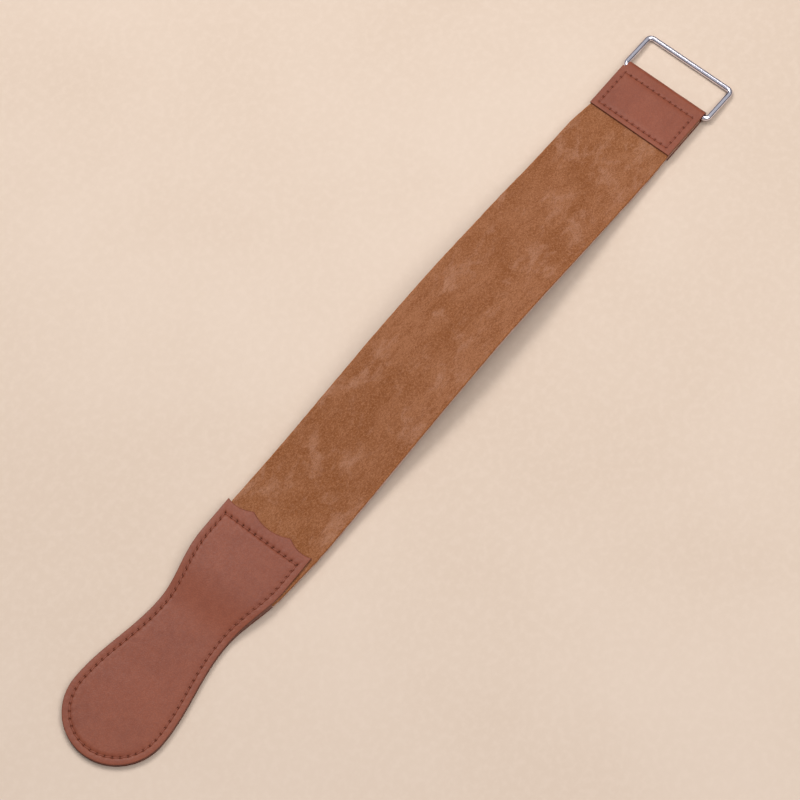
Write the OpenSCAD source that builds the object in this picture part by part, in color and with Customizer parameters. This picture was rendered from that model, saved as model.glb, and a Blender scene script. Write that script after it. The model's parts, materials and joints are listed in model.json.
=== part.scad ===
// Hanging leather strop: two strops laid face to face, a stitched paddle grip at one end
// and a folded tab with a wire hanger ring at the other.
// +X runs from the grip to the ring, +Z is up from the surface that the strop lies on,
// and the origin is under the middle of the whole object.

/* [Strop] */
// Width of both strops
strap_w = 50; // [40:0.5:64]
// Length of strop between the grip covers and the tab
strap_len = 275; // [200:1:340]
// Thickness of the upper strop, suede side up
suede_t = 2.0; // [1.6:0.1:3]
// Thickness of the lower strop, grain side down
smooth_t = 1.6; // [1.2:0.1:2.4]
// How high the strops arch above the surface halfway along
arch_rise = 9; // [2:0.5:20]

/* [Grip] */
// Length of the grip from the front line of its covers to its round end
grip_len = 136; // [120:1:160]
// Width of the covers at their front line
cover_w = 49.6; // [40:0.2:60]
// Width of the grip at its waist
waist_w = 38.8; // [30:0.2:46]
// Distance of the waist from the front line
waist_x = 57; // [50:1:65]
// Width of the round end
belly_w = 51.8; // [46:0.2:56]
// Sideways offset of the grip from the middle of the strops, at its waist
grip_shift = 0.7; // [0:0.1:1]
// Degrees that the grip is turned from the line of the strops
grip_turn = 1.3; // [0:0.1:1.5]
// How far the strops reach into the grip
strap_in = 33; // [26:1:38]
// Thickness of the stiffener inside the grip
core_t = 0.8; // [0.6:0.1:2]
// Thickness of the cover leather on the grip and the tab
cover_t = 1.1; // [0.8:0.1:1.4]

/* [Tab] */
// Length of the tab from its free edge to the end of its fold
tab_len = 32.5; // [28:0.5:40]
// Width of the tab where it is sewn
tab_w = 48.8; // [40:0.2:60]
// Sideways offset of the tab from the middle of the strops
tab_shift = -0.5; // [-1:0.1:0]

/* [Ring] */
// Diameter of the ring's wire
wire_d = 2.9; // [2.4:0.1:3.1]
// Width of the window inside the ring
ring_inner_w = 48.3; // [46:0.1:50]
// How far the ring reaches beyond the fold of the tab
ring_reach = 20.5; // [15:0.5:26]
// Radius of the wire's centre line at each corner
ring_bend_r = 2.6; // [2:0.05:3]
// Sideways offset of the ring from the middle of the strops
ring_shift = -1.3; // [-1.6:0.1:-0.4]

/* [Stitching] */
// Distance of the seam from the edge of the covers and the tab
seam_inset = 3.5; // [3:0.1:4]
// Length of one stitch
stitch_len = 3.6; // [3:0.1:5]
// Width of the thread
thread_w = 0.7; // [0.5:0.05:0.9]

/* [Hidden] */
$fn = 64;

// Heights above the surface
strap_low = cover_t;
strap_mid = strap_low + smooth_t;
strap_top = strap_mid + suede_t;
stack_top = strap_top + cover_t;

// The arch starts a little ahead of the grip, past the points of its scalloped edge
arch_start = 3;
arch_steps = 44;

// Shape of the grip's outline
belly_r = belly_w / 2;
belly_x = grip_len - belly_r;
neck_start = 20;
outline_steps = 30;
end_angle = 86;
end_steps = 18;

// Scalloped front edge: how far its points reach forward and its hollows reach back
cusp_y = 11;
cusp_x = 1.8;
side_scallop = 1.7;
middle_scallop = 2.8;

// The stiffener is cut a little inside the covers, and starts behind the strops. The front cover is
// glued to it, and comes down to it from the strops.
core_inset = 0.3;
core_front = -strap_in - 1.6;
glue_t = 0.1;
drape_start = -strap_in - 1;
drape_len = 12;
front_edge_steps = 36;
cover_steps = 48;

// The strops stand out a little beside the grip covers, have cut corners inside them, taper on the
// right side towards the turned grip, and are trimmed to lie inside the tab
strap_margin = 0.3;
strap_corner = 5;
strap_taper = 1.6;
strap_trim_len = 14;

// Tab, and the neck that passes through the ring
fold_r = stack_top / 2;
bar_space_r = fold_r - cover_t;
fold_end = strap_len + tab_len;
axis_x = fold_end - fold_r;
bar_gap = 0.8;
ring_gap = 0.3;
tab_neck_half = ring_inner_w / 2 - ring_gap;
tab_neck_len = fold_r + wire_d / 2 + ring_gap;
tab_shoulder_len = 0.6;

// Ring: the far bar rests on the surface
ring_center_w = ring_inner_w + wire_d;
ring_center_len = fold_r + ring_reach - wire_d / 2;
ring_droop = asin((fold_r - wire_d / 2) / ring_center_len);
ring_end = axis_x + ring_center_len * cos(ring_droop) + wire_d / 2;

// Stitches
front_row_x = -7;
front_row_stitches = 12;
tab_row_stitches = 12;
tab_side_stitches = 6;
tab_edge_inset = 3;
tab_fold_inset = 7.6;
thread_proud = 0.2;
thread_sunk = 0.25;
thread_low = 0.1;
leg_t = 0.3;
hole_gap = 0.15;

// The middle of the object's length and width lies over the origin
ring_half = ring_center_w / 2 + wire_d / 2;
grip_start_y = grip_shift + waist_x * sin(grip_turn) + cover_w / 2 * cos(grip_turn);
grip_end = [-waist_x - (belly_x - waist_x) * cos(grip_turn) - belly_r,
            grip_shift - (belly_x - waist_x) * sin(grip_turn)];
left_y = max(grip_start_y, grip_end[1] + belly_r, ring_shift + ring_half);
right_y = min(grip_end[1] - belly_r, ring_shift - ring_half);
middle_x = (ring_end + grip_end[0]) / 2;
middle_y = (left_y + right_y) / 2;

function lerp(a, b, t) = a + (b - a) * t;
function ease(t) = (1 - cos(180 * min(max(t, 0), 1))) / 2;

// Half width of the grip at x
function grip_half(x) =
    x > -neck_start ? cover_w / 2
    : x > -waist_x ? lerp(cover_w, waist_w, ease((-x - neck_start) / (waist_x - neck_start))) / 2
    : x > -belly_x ? lerp(waist_w, belly_w, ease((-x - waist_x) / (belly_x - waist_x))) / 2
    : sqrt(max(0, pow(belly_r, 2) - pow(x + belly_x, 2)));

// Forward edge of the covers: three hollows between two corners and two points
function front_edge(y) =
    abs(y) <= cusp_y
    ? cusp_x - middle_scallop * (1 - pow(y / cusp_y, 2))
    : let (u = (abs(y) - cusp_y) / (cover_w / 2 - cusp_y))
      cusp_x * (1 - u) - side_scallop * 4 * u * (1 - u);

// 1 over the strops, 0 over the stiffener
function over_strap(x) = 1 - ease((drape_start - x) / drape_len);

// Height of the underside of the front cover
function cover_low(x) = lerp(cover_t + core_t + glue_t, strap_top, over_strap(x));

// Height at which the needle thread meets the bobbin thread
function lock_z(x) = lerp(cover_t + core_t / 2, strap_mid, over_strap(x));

function arch_z(x) =
    let (t = min(max((x - arch_start) / (strap_len - arch_start), 0), 1))
    arch_rise * pow(sin(180 * t), 2);

// Stations along the grip, from the front line to the round end
grip_stations = concat([for (i = [0 : outline_steps]) -belly_x * i / outline_steps],
                       [for (i = [1 : end_steps]) -belly_x - belly_r * sin(end_angle * i / end_steps)]);
front_edge_points = [for (i = [0 : front_edge_steps])
                     let (y = cover_w * (0.5 - i / front_edge_steps)) [front_edge(y), y]];

// Closed outline of a grip cover
function grip_outline() =
    concat(front_edge_points,
           [for (i = [1 : len(grip_stations) - 1]) [grip_stations[i], -grip_half(grip_stations[i])]],
           [for (i = [len(grip_stations) - 1 : -1 : 1]) [grip_stations[i], grip_half(grip_stations[i])]]);

// Outline of the stiffener
function core_outline() =
    let (xs = [for (i = [0 : outline_steps]) lerp(core_front, -belly_x, i / outline_steps)],
         r = belly_r - core_inset)
    concat([for (x = xs) [x, core_inset - grip_half(x)]],
           [for (i = [1 : end_steps * 2 - 1]) let (a = 90 * i / end_steps)
            [-belly_x - r * sin(a), -r * cos(a)]],
           [for (i = [outline_steps : -1 : 0]) [xs[i], grip_half(xs[i]) - core_inset]]);

// Half width of the strops: they follow the grip's outline where they lie inside it
function strap_half(x) = min(strap_w / 2, grip_half(x) + strap_margin);

module strap_plan() {
    tail = [for (i = [0 : outline_steps]) lerp(0, strap_corner - strap_in, i / outline_steps)];
    cut = strap_half(-strap_in) - strap_corner;
    trim_y = [for (side = [1, -1]) tab_shift + side * (tab_w / 2 - strap_margin)];
    far_x = axis_x - bar_space_r - bar_gap;
    polygon(concat([[strap_len - strap_trim_len, strap_w / 2], [strap_len, trim_y[0]], [far_x, trim_y[0]],
                    [far_x, trim_y[1]], [strap_len, trim_y[1]], [strap_len - strap_trim_len, -strap_w / 2]],
                   [for (x = tail) [x, -strap_half(x) - strap_taper * x / strap_in]],
                   [[-strap_in, strap_taper - cut], [-strap_in, cut]],
                   [for (i = [outline_steps : -1 : 0]) [tail[i], strap_half(tail[i])]]));
}

// One strop: a strip between two heights, arched between the grip and the tab
module strap_layer(low, high) {
    xs = concat([-strap_in - 1], [for (i = [0 : arch_steps]) lerp(arch_start, strap_len, i / arch_steps)],
                [fold_end]);
    last = len(xs) - 1;
    intersection() {
        rotate([90, 0, 0])
            linear_extrude(strap_w + 2, center = true)
                polygon(concat([for (x = xs) [x, low + arch_z(x)]],
                               [for (i = [last : -1 : 0]) [xs[i], high + arch_z(xs[i])]]));
        linear_extrude(stack_top + arch_rise + 1)
            strap_plan();
    }
}

module suede_strop() {
    color("peru")
        place() strap_layer(strap_mid, strap_top);
}

module smooth_strop() {
    color("rosybrown")
        place() strap_layer(strap_low, strap_mid);
}

// Front cover: a sheet of even thickness that lies on the strops and comes down to the stiffener
module grip_front_cover() {
    front_x = cusp_x + 1;
    xs = concat([front_x], [for (i = [0 : cover_steps]) drape_start - drape_len * i / cover_steps],
                [-grip_len - 1]);
    last = len(xs) - 1;
    color("sienna")
        place_grip() intersection() {
            rotate([90, 0, 0])
                linear_extrude(belly_w + 2, center = true)
                    polygon(concat([for (x = xs) [x, cover_low(x)]],
                                   [for (i = [last : -1 : 0]) [xs[i], cover_low(xs[i]) + cover_t]]));
            linear_extrude(stack_top + 1)
                polygon(grip_outline());
        }
}

module grip_back_cover() {
    color("saddlebrown")
        place_grip() linear_extrude(cover_t)
            polygon(grip_outline());
}

module grip_core() {
    color("tan")
        place_grip() translate([0, 0, cover_t])
            linear_extrude(core_t)
                polygon(core_outline());
}

// The tab is wrapped round the ring's near bar, with both leaves sewn to the strops
module ring_tab() {
    color("chocolate")
        place() intersection() {
            rotate([90, 0, 0])
                linear_extrude(tab_w + 4, center = true)
                    difference() {
                        tab_profile(fold_r, strap_len);
                        tab_profile(bar_space_r, strap_len - 1);
                    }
            linear_extrude(stack_top + 1)
                tab_plan();
        }
}

module tab_profile(r, from_x) {
    translate([axis_x, fold_r])
        circle(r);
    translate([from_x, fold_r - r])
        square([axis_x - from_x, 2 * r]);
}

// Edge of the tab at x, on the left side (1) or the right side (-1). The neck fits inside the ring.
function tab_edge(x, side) =
    let (sewn = side * tab_shift + tab_w / 2,
         neck = min(sewn, side * ring_shift + tab_neck_half))
    side * lerp(neck, sewn, ease((fold_end - tab_neck_len - x) / tab_shoulder_len));

module tab_plan() {
    shoulder = fold_end - tab_neck_len;
    xs = concat([strap_len], [for (i = [0 : 8]) shoulder - tab_shoulder_len * (1 - i / 8)], [fold_end + 1]);
    polygon(concat([for (x = xs) [x, tab_edge(x, 1)]],
                   [for (i = [len(xs) - 1 : -1 : 0]) [xs[i], tab_edge(xs[i], -1)]]));
}

// The ring hinges on its near bar, which lies in the fold
module hanger_ring() {
    color("silver")
        place() translate([axis_x, ring_shift, fold_r])
            rotate([0, ring_droop, 0]) {
                for (x = [0, ring_center_len])
                    translate([x, 0, 0])
                        rotate([90, 0, 0])
                            cylinder(h = ring_center_w - 2 * ring_bend_r, d = wire_d, center = true);
                for (y = [-1, 1])
                    translate([ring_bend_r, y * ring_center_w / 2, 0])
                        rotate([0, 90, 0])
                            cylinder(h = ring_center_len - 2 * ring_bend_r, d = wire_d);
                for (x = [0, 1], y = [0, 1])
                    translate([x * ring_center_len, (y - 0.5) * ring_center_w, 0])
                        mirror([x, 0, 0])
                            mirror([0, y, 0])
                                translate([ring_bend_r, ring_bend_r, 0])
                                    rotate([0, 0, 180])
                                        rotate_extrude(angle = 90)
                                            translate([ring_bend_r, 0])
                                                circle(d = wire_d);
            }
}

// Stitches

function path_len(p, i = 0) = i >= len(p) - 1 ? 0 : norm(p[i + 1] - p[i]) + path_len(p, i + 1);

function point_at(p, s, i = 0) =
    let (step = norm(p[i + 1] - p[i]))
    s <= step || i >= len(p) - 2 ? p[i] + (p[i + 1] - p[i]) * s / step : point_at(p, s - step, i + 1);

function evenly(p, n) = let (total = path_len(p)) [for (k = [0 : n - 1]) point_at(p, total * k / n)];

// Half width of the seam line at x, square to the edge
function seam_half(x) =
    let (slope = grip_half(x + 0.5) - grip_half(x - 0.5))
    grip_half(x) - seam_inset * sqrt(1 + slope * slope);

// Needle holes round the grip: down one side, round the end, up the other side and across
function grip_holes() =
    let (xs = [for (i = [0 : outline_steps]) lerp(front_row_x, -belly_x, i / outline_steps)],
         r = belly_r - seam_inset,
         side = [for (x = xs) [x, seam_half(x)]],
         round_end = [for (i = [1 : end_steps * 2 - 1]) let (a = 90 * i / end_steps)
                      [-belly_x - r * sin(a), r * cos(a)]],
         other = [for (i = [outline_steps : -1 : 0]) [xs[i], -seam_half(xs[i])]],
         loop = concat(side, round_end, other),
         row = [[front_row_x, -seam_half(front_row_x)], [front_row_x, seam_half(front_row_x)]])
    concat(evenly(loop, round(path_len(loop) / stitch_len)), evenly(row, front_row_stitches));

// Needle holes round the tab
function tab_holes() =
    let (y = tab_w / 2 - seam_inset,
         near = strap_len + tab_edge_inset,
         far = fold_end - tab_fold_inset)
    concat(evenly([[near, -y], [far, -y]], tab_side_stitches), evenly([[far, -y], [far, y]], tab_row_stitches),
           evenly([[far, y], [near, y]], tab_side_stitches), evenly([[near, y], [near, -y]], tab_row_stitches));

// A stitch from hole a to hole b: a bar on the surface with a leg down each hole.
// outer and lock hold the heights of the bar and of the leg's tip at both holes.
module stitch(a, b, outer, lock, bar) {
    run = norm(b - a);
    translate([a[0], a[1], 0])
        rotate([0, 0, atan2(b[1] - a[1], b[0] - a[0])])
            rotate([90, 0, 0])
                linear_extrude(thread_w, center = true)
                    polygon([[hole_gap, lock[0]], [hole_gap, outer[0]],
                             [run - hole_gap, outer[1]], [run - hole_gap, lock[1]],
                             [run - hole_gap - leg_t, lock[1]], [run - hole_gap - leg_t, outer[1] - bar],
                             [hole_gap + leg_t, outer[0] - bar], [hole_gap + leg_t, lock[0]]]);
}

module grip_stitches(front) {
    holes = grip_holes();
    bar = thread_proud + thread_sunk;
    place_grip()
        for (k = [0 : len(holes) - 1]) {
            ends = [holes[k], holes[(k + 1) % len(holes)]];
            lock = [for (p = ends) lock_z(p[0])];
            outer = [for (p = ends) front ? cover_low(p[0]) + cover_t + thread_proud : thread_low];
            stitch(ends[0], ends[1], outer, lock, front ? bar : -bar);
        }
}

module tab_stitches(front) {
    holes = tab_holes();
    bar = thread_proud + thread_sunk;
    outer = front ? stack_top + thread_proud : thread_low;
    place() translate([0, tab_shift, 0])
        for (k = [0 : len(holes) - 1])
            stitch(holes[k], holes[(k + 1) % len(holes)], [outer, outer], [strap_mid, strap_mid],
                   front ? bar : -bar);
}

module grip_needle_thread() {
    color("maroon") grip_stitches(true);
}

module grip_bobbin_thread() {
    color("maroon") grip_stitches(false);
}

module tab_needle_thread() {
    color("maroon") tab_stitches(true);
}

module tab_bobbin_thread() {
    color("maroon") tab_stitches(false);
}

// Everything is drawn from the front line of the grip covers, then moved over the origin
module place() {
    translate([-middle_x, -middle_y, 0])
        children();
}

// The parts of the grip are turned together about the waist
module place_grip() {
    place() translate([-waist_x, grip_shift, 0])
        rotate([0, 0, grip_turn])
            translate([waist_x, 0, 0])
                children();
}

suede_strop();
smooth_strop();
grip_front_cover();
grip_back_cover();
grip_core();
grip_needle_thread();
grip_bobbin_thread();
ring_tab();
tab_needle_thread();
tab_bobbin_thread();
hanger_ring();
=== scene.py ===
import json
import math

import bmesh
import bpy
import numpy as np
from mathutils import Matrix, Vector, noise


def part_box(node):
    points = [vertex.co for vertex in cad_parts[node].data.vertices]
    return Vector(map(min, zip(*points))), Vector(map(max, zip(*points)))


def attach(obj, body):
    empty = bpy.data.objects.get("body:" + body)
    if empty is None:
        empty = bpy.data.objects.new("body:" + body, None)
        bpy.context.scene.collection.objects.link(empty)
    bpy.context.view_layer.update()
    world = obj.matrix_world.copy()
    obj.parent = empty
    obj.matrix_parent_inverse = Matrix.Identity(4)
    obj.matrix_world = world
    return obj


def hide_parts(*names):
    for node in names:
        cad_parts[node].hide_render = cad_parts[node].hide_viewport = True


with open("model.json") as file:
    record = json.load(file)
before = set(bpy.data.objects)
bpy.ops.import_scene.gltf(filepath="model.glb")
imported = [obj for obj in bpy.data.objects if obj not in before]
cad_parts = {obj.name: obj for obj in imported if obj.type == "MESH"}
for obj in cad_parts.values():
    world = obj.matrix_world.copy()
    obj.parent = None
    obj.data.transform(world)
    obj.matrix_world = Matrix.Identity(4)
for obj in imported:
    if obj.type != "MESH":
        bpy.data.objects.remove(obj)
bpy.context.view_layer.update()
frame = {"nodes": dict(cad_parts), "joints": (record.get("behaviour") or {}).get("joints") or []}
MM = 0.001
RANDOM = np.random.default_rng(7)


# -------------------------------- sizes, in metres

BACK_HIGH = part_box("grip_back_cover")[1]
FRONT_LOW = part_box("grip_front_cover")[0]
CORE_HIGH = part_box("grip_core")[1]
SUEDE_LOW, SUEDE_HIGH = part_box("suede_strop")
SMOOTH_LOW, SMOOTH_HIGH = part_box("smooth_strop")
TAB_LOW, TAB_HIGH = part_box("ring_tab")
RING_LOW, RING_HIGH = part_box("hanger_ring")
HINGE = Vector(frame["joints"][0]["pos_m"])

# Heights where the strops lie flat, and the rise of their arch
COVER_T = BACK_HIGH.z
STACK_TOP = TAB_HIGH.z
STRAP_LOW = SMOOTH_LOW.z
STRAP_TOP = STACK_TOP - COVER_T
SUEDE_T = SUEDE_HIGH.z - SMOOTH_HIGH.z
STRAP_MID = STRAP_TOP - SUEDE_T
ARCH_RISE = SUEDE_HIGH.z - STRAP_TOP
CORE_TOP = CORE_HIGH.z

# Strop outline
STRAP_HALF = (SUEDE_HIGH.y - SUEDE_LOW.y) / 2
STRAP_MID_Y = (SUEDE_LOW.y + SUEDE_HIGH.y) / 2
STRAP_INNER_END = SUEDE_LOW.x
STRAP_OUTER_END = SUEDE_HIGH.x
STRAP_IN = 33 * MM
STRAP_MARGIN = 0.3 * MM
STRAP_CORNER = 5 * MM
STRAP_TAPER = 1.6 * MM
STRAP_TRIM_LEN = 14 * MM

# Strop edges and surface: roundings, quick and slow wandering of the cut edge, and slow waves of the face.
# Names that end in V are shares of the half width.
STRAP_EDGE_R = 0.45 * MM
STRAP_INNER_ROUNDING = 0.3
STRAP_END_R = 0.5 * MM
STRAP_SIDE_V = 0.02
STRAP_GAP_V = 0.04
STRAP_EDGE_SHADE = 0.5 * MM
STRAP_EDGE_GAIN = 1.3
STRAP_STEP = 1.3 * MM
STRAP_LINES_ACROSS = 41
RAGGED = 0.12 * MM
RAGGED_SIZE = 3 * MM
WANDER = 0.2 * MM
WANDER_SIZE = 30 * MM
STRAP_WAVE = 0.12 * MM
STRAP_WAVE_SIZE = 26 * MM
STRAP_WAVE_RAMP = 30 * MM
STRAP_FLAT_BY_GRIP = 4 * MM
STRAP_FLAT_BY_TAB = 2 * MM

# Grip outline. x is 0 at the front line of the covers and falls towards the paddle's end, and y is 0 in the
# middle. The whole grip is turned a little about its waist, by grip_place.
FRONT_X = STRAP_INNER_END + STRAP_IN
GRIP_Y = STRAP_MID_Y + 0.7 * MM
GRIP_TURN = math.radians(1.3)
CUSP_X = 1.8 * MM
CUSP_Y = 11 * MM
SIDE_SCALLOP = 1.7 * MM
MIDDLE_SCALLOP = 2.8 * MM
COVER_HALF = 24.8 * MM
WAIST_HALF = 19.4 * MM
WAIST_X = 57 * MM
NECK_START = 20 * MM
BELLY_R = 25.9 * MM
BELLY_X = 110.1 * MM
CORE_FRONT = -STRAP_IN - 1.6 * MM
PADDLE_TOP = FRONT_LOW.z + COVER_T
DRAPE_LEN = 25 * MM
ARCH_START = FRONT_X + 3 * MM

# Tab outline
TAB_MID_Y = (TAB_LOW.y + TAB_HIGH.y) / 2
TAB_HALF = (TAB_HIGH.y - TAB_LOW.y) / 2
TAB_LEN = TAB_HIGH.x - TAB_LOW.x
FOLD_R = STACK_TOP / 2

# Ring, and the tab's neck that passes through it
WIRE_R = 1.45 * MM
WIRE_SIDES = 32
RING_BEND_R = 2.6 * MM
RING_BEND_POINTS = 19
RING_STEP = 2 * MM
RING_GAP = 0.3 * MM
RING_MID_Y = (RING_LOW.y + RING_HIGH.y) / 2
TAB_NECK_HALF = (RING_HIGH.y - RING_LOW.y) / 2 - 2 * WIRE_R - RING_GAP
TAB_NECK_LEN = FOLD_R + WIRE_R + RING_GAP
TAB_SHOULDER_LEN = 0.6 * MM
TAB_NECK_LINES = 4
TAB_FOLD_LINES = 13

# Seams: where they run, their needle holes, the groove they lie in, the dimple round each hole, and the reach
# of the painted shade in the holes and along the groove
SEAM_INSET = 3.5 * MM
FRONT_SEAM_INSET = 7 * MM
SCALLOP_FADE = 0.9 * SEAM_INSET
STITCH_LEN = 3.6 * MM
FRONT_STITCHES = 12
TAB_ROW_STITCHES = 12
TAB_SIDE_STITCHES = 6
TAB_EDGE_SEAM = 3 * MM
TAB_FOLD_SEAM = 7.6 * MM
HOLE_R = 0.36 * MM
HOLE_STRETCH = 1.25
HOLE_DEPTH = 0.8 * MM
HOLE_DEPTH_SPREAD = (0.85, 1.15)
HOLE_SHADE_R = HOLE_R * 0.9
HOLE_SHADE_GAIN = 1.3
GROOVE_DEPTH = 0.2 * MM
GROOVE_W = 0.52 * MM
GROOVE_SHADE_W = 0.9 * MM
TAB_GROOVE_DEPTH = GROOVE_DEPTH * 0.8
DIMPLE_DEPTH = 0.1 * MM
DIMPLE_W = 1.6 * MM

# Faces of the covers: padding inside the seam, a crown outside it, and slow and quick unevenness
PADDING = 0.25 * MM
PADDING_RAMP = 2 * MM
RIM_CROWN = 0.12 * MM
RIM_FILL_LEN = 1 * MM
WAVE = 0.13 * MM
WAVE_SIZE = 17 * MM
RIPPLE = 0.05 * MM
RIPPLE_SIZE = 6 * MM

# Faces of the tab
TAB_PADDING = 0.16 * MM
TAB_PADDING_RAMP = 3 * MM
TAB_WAVE = 0.06 * MM
TAB_WAVE_SIZE = 9 * MM
TAB_SEED = 31
TAB_LEAVES_APART = 0.2

# Thread
THREAD_R = 0.24 * MM
THREAD_R_SPREAD = (0.93, 1.07)
THREAD_SIDES = 10
THREAD_TWIST = 3.4 / MM
PLY_RELIEF = 0.13
THREAD_DIVE = 0.9 * MM
# Depth below the groove's floor at which the thread's painted shade is full
THREAD_SHADE_DEPTH = 0.35 * MM
FRONT_THREAD_LIFT = 0.06 * MM
BACK_THREAD_LIFT = -0.1 * MM
STITCH_SQUARENESS = 10
STITCH_SLANT_MM = (0.07, 0.13)

# Where the columns of a seam's mesh lie along one stitch, closest together at the holes
STITCH_STEPS = np.array([0, 0.035, 0.08, 0.14, 0.24, 0.38, 0.62, 0.76, 0.86, 0.92, 0.965])
# Where the rings of a thread lie along one stitch, closest together where it turns down
THREAD_STEPS = np.array([0, 0.015, 0.05, 0.1, 0.17, 0.27, 0.4, 0.5, 0.6, 0.73, 0.83, 0.9, 0.95, 0.985, 1])
# Where the lines of a rounded edge lie, as shares of its radius
EDGE_STEPS = np.array([0, 0.08, 0.3, 0.6, 1])
# An inset or a distance well away from every seam
FAR = 1.0


# -------------------------------- shape functions

def lerp(a, b, t):
    return a + (b - a) * t


def ease(t):
    return (1 - np.cos(np.pi * np.clip(t, 0, 1))) / 2


def bump(distance, width):
    """1 at distance 0, falling smoothly to 0 over about twice the width."""
    return np.exp(-np.square(distance / width))


def waviness(x, y, scale, seed):
    """Smooth noise from -1 to 1, with features of about the given scale."""
    flat = np.stack([np.ravel(x) / scale, np.ravel(y) / scale, np.full(np.size(x), seed)], 1)
    values = [noise.noise(Vector(p)) for p in flat.tolist()]
    return np.reshape(values, np.shape(x))


def grip_half(x):
    """Half width of the grip at x, where 0 is the front line and the grip is on the negative side."""
    neck = lerp(COVER_HALF, WAIST_HALF, ease((-x - NECK_START) / (WAIST_X - NECK_START)))
    belly = lerp(WAIST_HALF, BELLY_R, ease((-x - WAIST_X) / (BELLY_X - WAIST_X)))
    return np.where(-x < WAIST_X, neck, belly)


def grip_side(x, inset):
    """Half width of the line that runs at an inset from the grip's edge."""
    step = 0.5 * MM
    slope = (grip_half(x + step) - grip_half(x - step)) / (2 * step)
    return grip_half(x) - inset * np.sqrt(1 + slope**2)


def front_edge(y):
    """x of the scalloped front edge at y: three hollows between two corners and two points."""
    u = np.clip((np.abs(y) - CUSP_Y) / (COVER_HALF - CUSP_Y), 0, 1)
    side = CUSP_X * (1 - u) - SIDE_SCALLOP * 4 * u * (1 - u)
    middle = CUSP_X - MIDDLE_SCALLOP * (1 - np.square(y / CUSP_Y))
    return np.where(np.abs(y) < CUSP_Y, middle, side)


def over_strap(x):
    """1 where the cover lies on the strops, 0 where it lies on the stiffener."""
    return 1 - ease((-x - STRAP_IN) / DRAPE_LEN)


def front_cover_height(x):
    """Height of the front cover's top face, without its seam."""
    return lerp(PADDLE_TOP, STACK_TOP, over_strap(x))


def grip_place(x, y):
    """Where a point of the grip's outline lies in the frame."""
    ahead = x + WAIST_X
    cos, sin = math.cos(GRIP_TURN), math.sin(GRIP_TURN)
    return FRONT_X - WAIST_X + cos * ahead - sin * y, GRIP_Y + sin * ahead + cos * y


def arch(x):
    """Height that the arch adds to the strops at x in the frame."""
    t = np.clip((x - ARCH_START) / (TAB_LOW.x - ARCH_START), 0, 1)
    return ARCH_RISE * np.sin(np.pi * t) ** 2


# -------------------------------- mesh helpers

def turn_outward(mesh):
    """Makes a closed mesh's faces look outward, whichever way its vertices run round them."""
    shape = bmesh.new()
    shape.from_mesh(mesh)
    if shape.calc_volume(signed=True) < 0:
        mesh.flip_normals()
    shape.free()


def make_object(name, verts, faces, material, attributes=None):
    """A smooth-shaded mesh in the scene. attributes are numbers by vertex that its material reads."""
    mesh = bpy.data.meshes.new(name)
    mesh.from_pydata([tuple(v) for v in np.asarray(verts).tolist()], [], faces)
    for key, values in (attributes or {}).items():
        layer = mesh.attributes.new(key, "FLOAT", "POINT")
        layer.data.foreach_set("value", np.asarray(values, np.float32))
    mesh.polygons.foreach_set("use_smooth", np.ones(len(mesh.polygons), bool))
    mesh.materials.append(material)
    mesh.validate()
    turn_outward(mesh)
    obj = bpy.data.objects.new(name, mesh)
    bpy.context.scene.collection.objects.link(obj)
    return obj


def grid_faces(rows, columns, start=0, closed=False, flip=False):
    """Quads of a grid of vertices stored row by row. A closed grid joins its last column to its first."""
    r = np.arange(rows - 1)[:, None] * columns + start
    c = np.arange(columns if closed else columns - 1)[None, :]
    d = (c + 1) % columns
    quads = np.stack([r + c, r + d, r + columns + d, r + columns + c], -1).reshape(-1, 4)
    return (quads[:, ::-1] if flip else quads).tolist()


def slab(name, top, bottom, material, attributes):
    """A closed sheet between two grids of points. attributes are arrays over both, the top's values first."""
    rows, columns = top.shape[:2]
    count = rows * columns
    index = np.arange(count).reshape(rows, columns)
    rim = np.concatenate([index[0, :-1], index[:-1, -1], index[-1, :0:-1], index[:0:-1, 0]])
    after = np.roll(rim, -1)
    walls = np.stack([rim, rim + count, after + count, after], -1).tolist()
    faces = grid_faces(rows, columns) + grid_faces(rows, columns, count, flip=True) + walls
    verts = np.concatenate([top.reshape(-1, 3), bottom.reshape(-1, 3)])
    return make_object(name, verts, faces, material, attributes)


def edge_lines(length, corner, middle):
    """Positions along a side: close together at its rounded corners, and the given ones between them."""
    close = corner * EDGE_STEPS
    return np.concatenate([close, middle, (length - close)[::-1]])


def rounding(distance, radius):
    """How far a rounded edge lies below the flat at a distance from the side."""
    t = np.clip(distance / radius, 0, 1)
    return radius * (1 - np.sqrt(1 - np.square(1 - t)))


# -------------------------------- materials

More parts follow.
